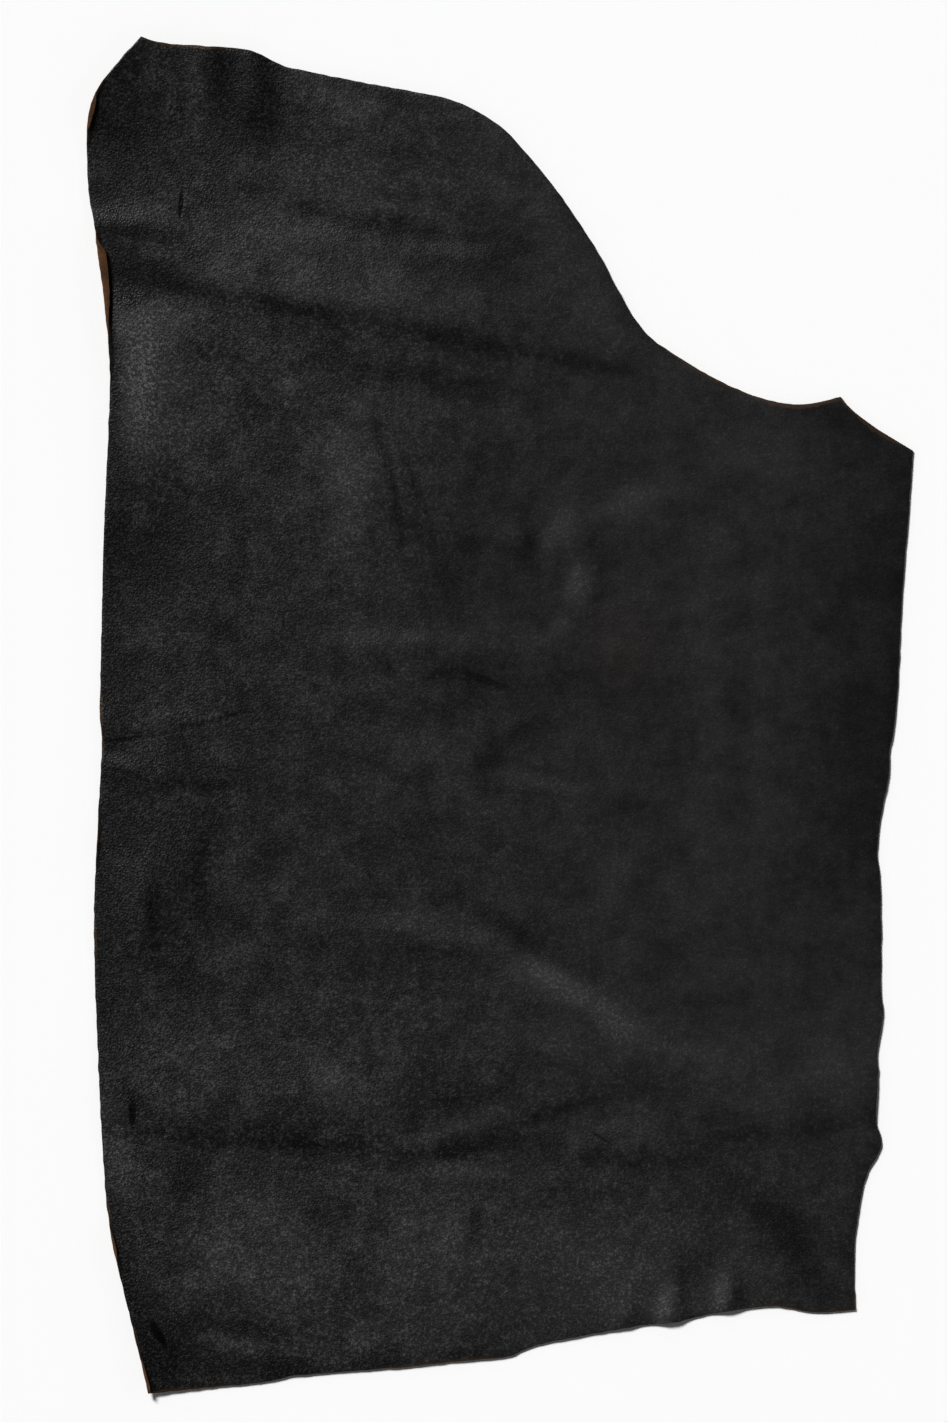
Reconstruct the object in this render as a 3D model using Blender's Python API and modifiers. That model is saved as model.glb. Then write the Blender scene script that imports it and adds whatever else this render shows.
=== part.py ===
"""A leather hide, lying flat with its grain side up.

The hide is one sheet.  Its outline is five edges that meet at corners, and its underside is a grid
stretched between them.  Folds and rises lift that underside off the surface, curls roll its
left edge over, and Solidify gives it the leather's thickness.  +X is across the hide, +Y is up its
length and +Z is up.  The origin is under the middle, on the surface that the hide lies on.
"""
from collections import namedtuple
from math import radians

import bmesh
import bpy
import numpy as np

MM = 0.001

# ---------------------------------------------------------------- driving dimensions, in mm
THICKNESS = 1.6
FLAT_BELOW = 0.5         # a rise lower than this lies flat on the surface
SETTLE = 1.2             # how softly a rise leaves the surface
CURL_MARGIN = 10.0       # flat strip between a curled edge and the rest of the sheet
MARGIN_SHARE = 0.0125    # the same strip as a share of a row
CURL_COLUMNS = 8         # columns of faces across a curl and its margin
CURL_SQUASH = 0.65       # how far the leather's own weight flattens a curl
EDGE_PULL = 8            # how soon a row forgets the shift that its curl gives it
SPLINE_STEPS = 16        # points read from each stretch of an edge
FOLD_TAPER = 0.4         # how much narrower a fold is at its ends

Point = namedtuple("Point", "x y")
Band = namedtuple("Band", "name length cells")
Fold = namedtuple("Fold", "name x0 y0 x1 y1 bow left right fade height")
Rise = namedtuple("Rise", "name x y long wide turn height")
Curl = namedtuple("Curl", "name y below above turn radius")

# ---------------------------------------------------------------- outline, from corner to corner
LEFT_EDGE = (
    Point(-351.0, -678.5), Point(-357.0, -651.5), Point(-376.0, -573.5), Point(-388.0, -521.5),
    Point(-394.0, -469.5), Point(-401.0, -339.5), Point(-405.0, -209.5), Point(-401.0, -105.5),
    Point(-397.0, -27.5), Point(-399.0, -1.5), Point(-397.0, 102.5), Point(-395.0, 180.5),
    Point(-389.0, 324.5), Point(-390.0, 362.5), Point(-395.0, 414.5), Point(-402.0, 466.5),
    Point(-405.0, 492.5), Point(-410.0, 518.5), Point(-412.0, 557.5), Point(-411.0, 596.5),
    Point(-403.0, 622.5), Point(-384.0, 648.5), Point(-358.0, 677.5),
)
BOTTOM_EDGE = (
    Point(-351.0, -678.5), Point(-309.0, -674.5), Point(-229.0, -666.5), Point(-209.0, -661.5),
    Point(-109.0, -653.5), Point(-29.0, -645.5), Point(11.0, -641.5), Point(31.0, -632.5),
    Point(71.0, -623.5), Point(151.0, -609.5), Point(171.0, -608.5), Point(211.0, -599.5),
    Point(276.0, -591.5), Point(313.0, -597.5), Point(356.0, -595.5),
)
RIGHT_EDGE = (
    Point(356.0, -595.5), Point(355.0, -539.5), Point(359.0, -499.5), Point(368.0, -459.5),
    Point(382.0, -431.5), Point(377.0, -405.5), Point(379.0, -359.5), Point(378.0, -339.5),
    Point(384.0, -299.5), Point(382.0, -279.5), Point(382.0, -219.5), Point(381.0, -159.5),
    Point(378.0, -139.5), Point(382.0, -99.5), Point(390.0, -59.5), Point(390.0, -39.5),
    Point(394.0, -19.5), Point(398.0, 20.5), Point(402.0, 100.5), Point(406.0, 160.5),
    Point(411.0, 220.5), Point(414.0, 263.5),
)
TOP_EDGE = (
    Point(-358.0, 677.5), Point(-338.0, 671.5), Point(-258.0, 665.5), Point(-238.0, 659.5),
    Point(-218.0, 649.5), Point(-199.0, 644.5), Point(-139.0, 632.5), Point(-59.0, 617.5),
    Point(-39.0, 611.5),
)
BEVEL_EDGE = (
    Point(414.0, 263.5), Point(377.0, 286.5), Point(353.0, 304.5), Point(342.0, 317.5),
)
SWEEP_EDGE = (
    Point(342.0, 317.5), Point(305.0, 310.5), Point(269.0, 314.5), Point(221.0, 333.5),
    Point(161.0, 369.5), Point(141.0, 388.5), Point(121.0, 420.5), Point(101.0, 458.5),
    Point(61.0, 519.5), Point(21.0, 568.5), Point(1.0, 588.5), Point(-19.0, 601.5),
    Point(-39.0, 611.5),
)

# ---------------------------------------------------------------- how the faces are spaced
ROW_BANDS = (            # from the bottom edge to the top one, as thousandths of the way
    Band("leg", 90.0, 6),
    Band("lower_valley", 150.0, 12),
    Band("belly", 320.0, 16),
    Band("bevel", 40.0, 3),
    Band("shoulder", 140.0, 8),
    Band("upper_valley", 130.0, 12),
    Band("neck", 60.0, 4),
    Band("neck_tip", 70.0, 7),
)
COLUMN_BANDS = (         # from the left edge to the right one
    Band("left", 600.0, 22),
    Band("ruffles", 220.0, 10),
    Band("right", 180.0, 5),
)
RIGHT_ENDS_AT = 0.56     # where the right edge and the bevel end, as shares of the way up
BEVEL_ENDS_AT = 0.60
ROW_SAG = 46.0           # how far the row that ends at the bevel's corner sags in its middle, in mm
SAG_REACH = 0.3          # and the share of the way up over which the sag dies away

# ---------------------------------------------------------------- folds, rises and curls
# A fold runs from (x0, y0) to (x1, y1), bowed to its left by bow in the middle.  left and right
# are how far its two flanks reach, fade is the share of each half over which it dies away, and a
# fold with a negative height is a trough.
FOLDS = (
    Fold("cuff_ridge", -470.0, 499.0, -300.0, 482.0, 0.0, 14.0, 13.0, 0.7, 2.2),
    Fold("neck_ridge", -420.0, 462.0, 190.0, 345.0, 0.0, 70.0, 34.0, 0.7, 3.3),
    Fold("upper_valley", -400.0, 436.0, 230.0, 316.0, -3.0, 12.0, 32.0, 0.6, -2.8),
    Fold("upper_valley_mouth", -500.0, 436.0, -265.0, 420.0, 0.0, 24.0, 28.0, 0.8, -3.2),
    Fold("second_valley", -235.0, 352.0, 90.0, 300.0, 0.0, 13.0, 30.0, 1.0, -2.9),
    Fold("neck_crease_short", -228.0, 510.0, -138.0, 482.0, 3.0, 8.0, 14.0, 1.0, -1.8),
    Fold("neck_crease_long", -154.0, 486.0, 40.0, 470.0, 9.0, 8.0, 20.0, 1.0, -2.6),
    Fold("corner_ridge_outer", -299.0, 745.0, -281.0, 575.0, 0.0, 14.0, 26.0, 0.9, 3.4),
    Fold("corner_ridge_inner", -262.0, 735.0, -233.0, 550.0, 0.0, 16.0, 30.0, 0.9, 4.0),
    Fold("shoulder_edge", -402.0, 270.0, -388.0, 110.0, 0.0, 16.0, 10.0, 1.0, 2.4),
    Fold("belly_ridge", -152.0, 350.0, -100.0, 120.0, 10.0, 9.0, 46.0, 1.0, 3.9),
    Fold("belly_ridge_inner", -118.0, 310.0, -84.0, 140.0, 7.0, 9.0, 14.0, 1.0, 2.3),
    Fold("belly_ridge_low", -200.0, 72.0, 66.0, 62.0, 3.0, 11.0, 20.0, 0.8, 1.9),
    Fold("belly_fold", -170.0, 42.0, 52.0, 12.0, 22.0, 30.0, 12.0, 1.0, 2.9),
    Fold("flank_ridge", 66.0, 232.0, 84.0, 70.0, 6.0, 24.0, 16.0, 0.8, 3.0),
    Fold("flank_ridge_inner", 10.0, 235.0, 26.0, 112.0, 0.0, 14.0, 28.0, 1.0, 2.0),
    Fold("flank_streak", 74.0, 196.0, 190.0, 222.0, 0.0, 16.0, 26.0, 1.0, 1.1),
    Fold("edge_fold_upper", -500.0, -22.0, -270.0, -4.0, -3.0, 20.0, 6.0, 1.0, 0.9),
    Fold("edge_fold_lower", -500.0, -42.0, -200.0, -80.0, 0.0, 14.0, 7.0, 1.0, 1.1),
    Fold("flank_dent_outer", -352.0, -125.0, -346.0, -262.0, 0.0, 9.0, 34.0, 1.0, 2.7),
    Fold("flank_dent_inner", -310.0, -60.0, -303.0, -215.0, 0.0, 12.0, 36.0, 1.0, 1.8),
    Fold("slant_valley", -85.0, -170.0, 130.0, -268.0, 3.0, 12.0, 24.0, 1.0, -3.5),
    Fold("slant_ridge", -14.0, -222.0, 200.0, -390.0, 5.0, 18.0, 90.0, 1.0, 3.7),
    Fold("slant_ridge_faint", -230.0, -198.0, -10.0, -240.0, 0.0, 18.0, 36.0, 1.0, 2.6),
    Fold("lower_valley", -440.0, -421.0, -70.0, -445.0, -3.0, 12.0, 28.0, 0.9, -3.4),
    Fold("lower_valley_dip", -140.0, -452.0, 45.0, -438.0, -10.0, 12.0, 26.0, 0.9, -3.4),
    Fold("lower_valley_climb", -60.0, -462.0, 185.0, -374.0, 13.0, 12.0, 36.0, 0.8, -2.7),
    Fold("lower_valley_step", 50.0, -438.0, 250.0, -442.0, -14.0, 13.0, 24.0, 1.0, -2.8),
    Fold("lower_valley_end", 190.0, -432.0, 470.0, -416.0, 2.0, 12.0, 28.0, 0.7, -2.3),
    Fold("ruffle_left", 178.0, -554.0, 166.0, -700.0, 0.0, 14.0, 14.0, 0.6, 4.2),
    Fold("ruffle_right", 232.0, -546.0, 228.0, -690.0, 0.0, 13.0, 13.0, 0.6, 4.0),
    Fold("ruffle_small", 132.0, -560.0, 121.0, -700.0, 0.0, 10.0, 13.0, 0.6, 2.0),
)
RISES = (
    Rise("neck_tip", -410.0, 690.0, 140.0, 86.0, 30.0, 11.0),
    Rise("collar", -120.0, 586.0, 120.0, 60.0, -12.0, 4.0),
    Rise("neck", -180.0, 392.0, 270.0, 95.0, -10.0, 5.4),
    Rise("shoulder", -368.0, 290.0, 44.0, 120.0, 0.0, 6.0),
    Rise("belly_swell", -120.0, 200.0, 90.0, 130.0, 6.0, 2.2),
    Rise("edge_swell", -350.0, -40.0, 100.0, 70.0, -8.0, 2.4),
    Rise("flank_swell", -340.0, -170.0, 70.0, 90.0, 0.0, 2.8),
    Rise("rump", 20.0, -320.0, 200.0, 80.0, -18.0, 2.8),
    Rise("lower_left", -240.0, -392.0, 220.0, 66.0, 0.0, 5.2),
    Rise("lower_right", 280.0, -395.0, 140.0, 55.0, 2.0, 3.8),
    Rise("hock", 170.0, -450.0, 90.0, 50.0, 0.0, 3.0),
    Rise("thigh", -130.0, -560.0, 260.0, 85.0, 4.0, 3.8),
    Rise("leg", 225.0, -470.0, 60.0, 40.0, -50.0, 1.5),
    Rise("leg_lower", 288.0, -560.0, 36.0, 24.0, -60.0, 2.5),
    Rise("foot", -405.0, -640.0, 92.0, 96.0, 0.0, 6.0),
)
# A curl rolls the left edge over about an axis along it, by turn degrees where it is greatest.
CURLS = (
    Curl("neck_tip_curl", 605.0, 50.0, 40.0, 185.0, 5.0),
    Curl("neck_curl", 458.0, 165.0, 38.0, 198.0, 6.5),
    Curl("flank_curl", -125.0, 45.0, 40.0, 120.0, 4.0),
    Curl("leg_curl", -533.0, 36.0, 44.0, 160.0, 5.0),
    Curl("foot_curl", -668.0, 60.0, 70.0, 165.0, 4.5),
)


def smooth_edge(points):
    """Read closely spaced points from a smooth curve through the given ones."""
    places = np.array(points)
    ahead = np.vstack((places[1:], 2.0 * places[-1] - places[-2]))
    behind = np.vstack((2.0 * places[0] - places[1], places[:-1]))
    gaps = np.linalg.norm(np.diff(places, axis=0), axis=1)
    before = np.concatenate(([gaps[0]], gaps))
    after = np.concatenate((gaps, [gaps[-1]]))
    slopes = (ahead - behind) / (before + after)[:, None]
    steps = np.linspace(0.0, 1.0, SPLINE_STEPS, endpoint=False)[:, None]
    stretches = []
    for start, end, slope_in, slope_out, gap in zip(
            places, places[1:], slopes, slopes[1:], gaps):
        stretches.append(
            (2.0 * steps**3 - 3.0 * steps**2 + 1.0) * start
            + (steps**3 - 2.0 * steps**2 + steps) * slope_in * gap
            + (3.0 * steps**2 - 2.0 * steps**3) * end
            + (steps**3 - steps**2) * slope_out * gap)
    return np.vstack(stretches + [places[-1:]])


def along(edge, shares):
    """Find the points at the given shares of an edge's length."""
    path = smooth_edge(edge)
    lengths = np.concatenate(([0.0], np.cumsum(np.linalg.norm(np.diff(path, axis=0), axis=1))))
    where = shares * lengths[-1]
    return np.column_stack((np.interp(where, lengths, path[:, 0]),
                            np.interp(where, lengths, path[:, 1])))


def banded_shares(bands):
    """Space the grid's lines by bands, as shares from 0 to 1."""
    lines = [0.0]
    for band in bands:
        start = lines[-1]
        lines.extend([start + band.length * (cell + 1) / band.cells for cell in range(band.cells)])
    return np.array(lines) / lines[-1]


def bump(distance):
    """Fall smoothly from 1 at no distance to 0 at a distance of 1."""
    near = np.clip(np.abs(distance), 0.0, 1.0)
    return (1.0 - near**2) ** 2


def fold_height(fold, x, y):
    run = np.array((fold.x1 - fold.x0, fold.y1 - fold.y0))
    length = np.hypot(*run)
    forward = run / length
    share = ((x - fold.x0) * forward[0] + (y - fold.y0) * forward[1]) / length
    aside = (y - fold.y0) * forward[0] - (x - fold.x0) * forward[1]
    aside = aside - fold.bow * (1.0 - (2.0 * share - 1.0) ** 2)
    reach = np.where(aside > 0.0, fold.left, fold.right)
    ends = np.clip(2.0 * np.minimum(share, 1.0 - share) / fold.fade, 0.0, 1.0)
    ends = ends * ends * (3.0 - 2.0 * ends)
    reach = reach * (1.0 - FOLD_TAPER * (1.0 - ends))
    return fold.height * np.exp(-(aside / reach) ** 2) * ends


def rise_height(rise, x, y):
    turn = radians(rise.turn)
    across = (x - rise.x) * np.cos(turn) + (y - rise.y) * np.sin(turn)
    up = (y - rise.y) * np.cos(turn) - (x - rise.x) * np.sin(turn)
    return rise.height * np.exp(-(across / rise.long) ** 2 - (up / rise.wide) ** 2)


def lie(x, y):
    """Height of the underside above the surface: nought wherever the hide lies flat."""
    lift = sum(rise_height(rise, x, y) for rise in RISES)
    lift = lift + sum(fold_height(fold, x, y) for fold in FOLDS)
    lift = np.maximum(lift - FLAT_BELOW, 0.0)
    return lift**2 / (lift + SETTLE)


def curl_turn(y):
    """How far the left edge is rolled over at a height up the hide, in radians, and how tightly."""
    turn = np.zeros_like(y)
    radius = np.full_like(y, CURLS[0].radius)
    for curl in CURLS:
        reach = np.where(y > curl.y, curl.above, curl.below)
        here = radians(curl.turn) * bump((y - curl.y) / reach)
        radius = np.where(here > turn, curl.radius, radius)
        turn = np.maximum(turn, here)
    return turn, radius


def right_points(rows):
    """Find the rows' right ends: up the right edge, over the bevel and up the neck's sweep."""
    right = along(RIGHT_EDGE, np.minimum(rows / RIGHT_ENDS_AT, 1.0))
    past_right = (rows - RIGHT_ENDS_AT) / (BEVEL_ENDS_AT - RIGHT_ENDS_AT)
    bevel = along(BEVEL_EDGE, np.clip(past_right, 0.0, 1.0))
    sweep = along(SWEEP_EDGE, np.maximum((rows - BEVEL_ENDS_AT) / (1.0 - BEVEL_ENDS_AT), 0.0))
    places = np.where((rows < RIGHT_ENDS_AT)[:, None], right, bevel)
    return np.where((rows > BEVEL_ENDS_AT)[:, None], sweep, places)


def flat_row(v, left, right, shares):
    """Stretch one row between the edges, as x and y, at shares of its length."""
    u = shares[:, None]
    bottom = along(BOTTOM_EDGE, shares) - ((1.0 - u) * BOTTOM_EDGE[0] + u * BOTTOM_EDGE[-1])
    top = along(TOP_EDGE, shares) - ((1.0 - u) * TOP_EDGE[0] + u * TOP_EDGE[-1])
    sag = ROW_SAG * bump((v - BEVEL_ENDS_AT) / SAG_REACH) * 4.0 * u * (1.0 - u)
    return (1.0 - v) * bottom + v * top + (1.0 - u) * left + u * right - sag * (0.0, 1.0)


def sheet_places():
    """Places of the underside's grid points, as rows of x, y and z, from the bottom row up."""
    rows = banded_shares(ROW_BANDS)
    columns = MARGIN_SHARE + (1.0 - MARGIN_SHARE) * banded_shares(COLUMN_BANDS)
    left_edge = along(LEFT_EDGE, rows)
    turns, radii = curl_turn(left_edge[:, 1])
    grid = []
    for v, left, right, turn, radius in zip(rows, left_edge, right_points(rows), turns, radii):
        curled = radius * turn
        material = np.linspace(0.0, curled + CURL_MARGIN, CURL_COLUMNS, endpoint=False)
        margin = np.maximum(material - curled, 0.0) / CURL_MARGIN * MARGIN_SHARE
        angle = np.maximum(curled - material, 0.0) / radius
        angle = np.concatenate((angle, np.zeros_like(columns)))
        shares = np.concatenate((margin, columns))
        x, y = flat_row(v, left, right, shares).T
        x = x + radius * np.sin(min(turn, radians(90.0))) * (1.0 - shares) ** EDGE_PULL
        x = x - radius * np.sin(angle)
        z = lie(x, y) + CURL_SQUASH * radius * (1.0 - np.cos(angle))
        grid.append(np.column_stack((x, y, z)))
    return np.array(grid)


def leather_material():
    material = bpy.data.materials.new("dyed_leather")
    material.use_nodes = True
    shader = material.node_tree.nodes["Principled BSDF"]
    shader.inputs["Base Color"].default_value = (0.018, 0.018, 0.019, 1.0)
    shader.inputs["Roughness"].default_value = 0.55
    shader.inputs["Metallic"].default_value = 0.0
    material.diffuse_color = (0.018, 0.018, 0.019, 1.0)
    return material


def build_hide(collection):
    places = sheet_places() * MM
    rows, columns = places.shape[0] - 1, places.shape[1] - 1
    mesh = bpy.data.meshes.new("hide")
    sheet = bmesh.new()
    bmesh.ops.create_grid(sheet, x_segments=columns, y_segments=rows, size=1.0)
    for vertex in sheet.verts:
        column = round((vertex.co.x + 1.0) * 0.5 * columns)
        row = round((vertex.co.y + 1.0) * 0.5 * rows)
        vertex.co = places[row, column]
    sheet.to_mesh(mesh)
    sheet.free()
    mesh.shade_smooth()
    mesh.materials.append(leather_material())
    hide = bpy.data.objects.new("hide", mesh)
    collection.objects.link(hide)
    body = hide.modifiers.new("thickness", "SOLIDIFY")
    body.thickness = THICKNESS * MM
    body.offset = 1.0
    body.use_even_offset = True
    return hide


def main():
    for old in list(bpy.data.objects):
        bpy.data.objects.remove(old, do_unlink=True)
    collection = bpy.data.collections.new("leather_hide")
    bpy.context.scene.collection.children.link(collection)
    build_hide(collection)


main()
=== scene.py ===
from collections import namedtuple
from math import cos, radians, sin

import bmesh
import bpy
import numpy as np
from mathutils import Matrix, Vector, noise


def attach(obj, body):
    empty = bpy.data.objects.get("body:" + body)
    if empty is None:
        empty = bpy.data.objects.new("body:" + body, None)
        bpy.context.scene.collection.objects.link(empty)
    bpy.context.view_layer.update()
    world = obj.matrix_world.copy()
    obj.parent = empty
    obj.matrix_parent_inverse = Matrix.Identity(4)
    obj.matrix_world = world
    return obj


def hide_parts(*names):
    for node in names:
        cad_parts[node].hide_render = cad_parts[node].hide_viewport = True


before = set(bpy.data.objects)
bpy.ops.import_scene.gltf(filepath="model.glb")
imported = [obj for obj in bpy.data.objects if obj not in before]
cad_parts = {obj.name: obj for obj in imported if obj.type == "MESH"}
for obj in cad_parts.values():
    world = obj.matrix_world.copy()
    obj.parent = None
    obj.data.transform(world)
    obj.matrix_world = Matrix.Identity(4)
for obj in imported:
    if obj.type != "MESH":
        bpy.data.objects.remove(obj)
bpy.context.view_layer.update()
mm = 0.001
noiseStart = (0.9, 1.3, 0.4)  # metres, where the hide lies in its noises
print("frame loaded:", ", ".join(sorted(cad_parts)))


class Wire:  # an output socket that can stand in a sum like a number
    def __init__(self, bench, socket):
        self.bench = bench
        self.socket = socket

    def maths(self, operation, first, second):
        return self.bench.add("ShaderNodeMath", {"operation": operation}, {0: first, 1: second})

    def __add__(self, other):
        return self.maths("ADD", self, other)

    def __sub__(self, other):
        return self.maths("SUBTRACT", self, other)

    def __rsub__(self, other):
        return self.maths("SUBTRACT", other, self)

    def __mul__(self, other):
        return self.maths("MULTIPLY", self, other)

    def __rtruediv__(self, other):
        return self.maths("DIVIDE", other, self)

    __radd__ = __add__
    __rmul__ = __mul__


class Bench:  # where a tree's nodes are made and wired
    def __init__(self, tree):
        self.tree = tree

    def add(self, kind, settings=None, inputs=None, output=0):
        node = self.tree.nodes.new(kind)
        for name, value in (settings or {}).items():
            setattr(node, name, value)
        for name, value in (inputs or {}).items():
            if isinstance(value, Wire):
                self.tree.links.new(value.socket, node.inputs[name])
            else:
                node.inputs[name].default_value = value
        return Wire(self, node.outputs[output])

    def tint(self, share, first, second):  # from one colour to another
        return self.add("ShaderNodeMix", {"data_type": "RGBA"}, {0: share, 6: first, 7: second}, 2)

    def ramp(self, value, low, high):  # 0 at low, 1 at high, eased
        return self.add("ShaderNodeMapRange", {"interpolation_type": "SMOOTHSTEP"},
                        {0: value, 1: low, 2: high})

    def away(self, place):  # all layers of a noise meet in a step at its own origin
        return self.add("ShaderNodeVectorMath", {"operation": "ADD"}, {0: place, 1: noiseStart})

    def cloud(self, place, kind, output=0):  # a noise of the kind given, a Cloud
        return self.add("ShaderNodeTexNoise", {},
                        {"Vector": self.away(place), "Scale": 1.0 / (kind.size * mm),
                         "Detail": kind.layers, "Roughness": kind.rough}, output)

    def cells(self, place, size):  # how far a point is from the middle of its pebble, of this size in mm
        return self.add("ShaderNodeTexVoronoi", {},
                        {"Vector": self.away(place), "Scale": 1.0 / (size * mm)}, "Distance")

    def own(self, name):  # a value that the mesh carries on its points
        return self.add("ShaderNodeAttribute", {"attribute_name": name}, {}, "Fac")


def newFinish(name):  # a material, with a bench for its nodes and the place of each point
    material = bpy.data.materials.new(name)
    material.use_nodes = True
    bench = Bench(material.node_tree)
    shader = material.node_tree.nodes["Principled BSDF"]
    place = bench.add("ShaderNodeTexCoord", {}, {}, "Object")
    return material, bench, shader, place


def feed(bench, shader, links, fixed):  # wires and plain values into a shader
    for name, wire in links.items():
        bench.tree.links.new(wire.socket, shader.inputs[name])
    for name, value in fixed.items():
        shader.inputs[name].default_value = value


Point = namedtuple("Point", "x y")
Band = namedtuple("Band", "name length cells")
Fold = namedtuple("Fold", "name x0 y0 x1 y1 bow left right fade height")
Rise = namedtuple("Rise", "name x y long wide height turn", defaults=(0,))
Curl = namedtuple("Curl", "name y below above turn radius")
Patch = namedtuple("Patch", "name x y long wide strength turn", defaults=(0,))
Mark = namedtuple("Mark", "name x0 y0 x1 y1 wide depth")
Cloud = namedtuple("Cloud", "size layers rough")  # a noise: mm across its patches, layers, their strength

hide = {  # sizes in mm, X across and Y up the hide from the middle of its outline
    "thickness": 1.6,
    "rimThickness": 0.75,      # share of that left at the cut edge
    "rimTaper": 3.0,           # over this far in from the edge
    "flatBelow": 0.5,          # lower rises lie flat
    "settle": 1.2,             # how softly a rise leaves the floor
    "foldTaper": 0.4,          # how much narrower a fold is at its ends
    "curlMargin": 10.0,        # flat strip between a curl and the rest
    "marginShare": 0.0125,     # the same strip as a share of a row
    "curlColumns": 14,         # columns of faces in a curl and that strip
    "curlSquash": 0.65,        # how far the leather's weight flattens a curl
    "edgePull": 8,             # how soon a row forgets the shift of its curl
    "splineSteps": 16,         # how finely an edge is rounded between its points
    "rightEndsAt": 0.56,       # where the right edge and the bevel end, as shares of the way up
    "bevelEndsAt": 0.60,
    "rowSag": 46.0,            # sag of the row that ends at the bevel's corner
    "sagReach": 0.3,           # and how far up and down that is felt
    "ragged": (0.7, 9.0),      # how far the cut wanders, and over what length
    "raggedLayers": (20.0, 30.0),  # where the wander across and up are taken from the noise
    "rippleLayers": 3.7,       # how far apart two ripples are taken from the noise
    "cutAngle": 50.0,          # degrees, edges sharper than this aren't smoothed
    "fleshSlot": 1,            # places of the finishes on the sheet, the grain side's being 0
    "cutSlot": 2,
    "ripples": (               # height and width of the low unevenness
        (0.55, 46.0),
        (0.30, 21.0),
        (0.11, 10.0),
    ),
    "rows": (
        Band("leg", 90.0, 24),
        Band("lowerValley", 150.0, 52),
        Band("belly", 320.0, 70),
        Band("bevel", 40.0, 9),
        Band("shoulder", 140.0, 34),
        Band("upperValley", 130.0, 48),
        Band("neck", 60.0, 18),
        Band("neckTip", 70.0, 24),
    ),
    "columns": (
        Band("left", 600.0, 100),
        Band("ruffles", 220.0, 34),
        Band("right", 180.0, 18),
    ),
}
leftEdge = (
    Point(-351, -678.5), Point(-357, -651.5), Point(-376, -573.5), Point(-388, -521.5),
    Point(-394, -469.5), Point(-401, -339.5), Point(-405, -209.5), Point(-401, -105.5),
    Point(-397, -27.5), Point(-399, -1.5), Point(-397, 102.5), Point(-395, 180.5),
    Point(-389, 324.5), Point(-390, 362.5), Point(-395, 414.5), Point(-402, 466.5),
    Point(-405, 492.5), Point(-410, 518.5), Point(-412, 557.5), Point(-411, 596.5),
    Point(-403, 622.5), Point(-384, 648.5), Point(-358, 677.5),
)
bottomEdge = (
    Point(-351, -678.5), Point(-309, -674.5), Point(-229, -666.5), Point(-209, -661.5),
    Point(-109, -653.5), Point(-29, -645.5), Point(11, -641.5), Point(31, -632.5),
    Point(71, -623.5), Point(151, -609.5), Point(171, -608.5), Point(211, -599.5),
    Point(276, -591.5), Point(313, -597.5), Point(356, -595.5),
)
rightEdge = (
    Point(356, -595.5), Point(355, -539.5), Point(359, -499.5), Point(368, -459.5),
    Point(382, -431.5), Point(377, -405.5), Point(379, -359.5), Point(378, -339.5),
    Point(384, -299.5), Point(382, -279.5), Point(382, -219.5), Point(381, -159.5),
    Point(378, -139.5), Point(382, -99.5), Point(390, -59.5), Point(390, -39.5),
    Point(394, -19.5), Point(398, 20.5), Point(402, 100.5), Point(406, 160.5),
    Point(411, 220.5), Point(414, 263.5),
)
topEdge = (
    Point(-358, 677.5), Point(-338, 671.5), Point(-258, 665.5), Point(-238, 659.5),
    Point(-218, 649.5), Point(-199, 644.5), Point(-139, 632.5), Point(-59, 617.5),
    Point(-39, 611.5),
)
bevelEdge = (
    Point(414, 263.5), Point(377, 286.5), Point(353, 304.5), Point(342, 317.5),
)
sweepEdge = (
    Point(342, 317.5), Point(305, 310.5), Point(269, 314.5), Point(221, 333.5),
    Point(161, 369.5), Point(141, 388.5), Point(121, 420.5), Point(101, 458.5),
    Point(61, 519.5), Point(21, 568.5), Point(1, 588.5), Point(-19, 601.5),
    Point(-39, 611.5),
)
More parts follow.
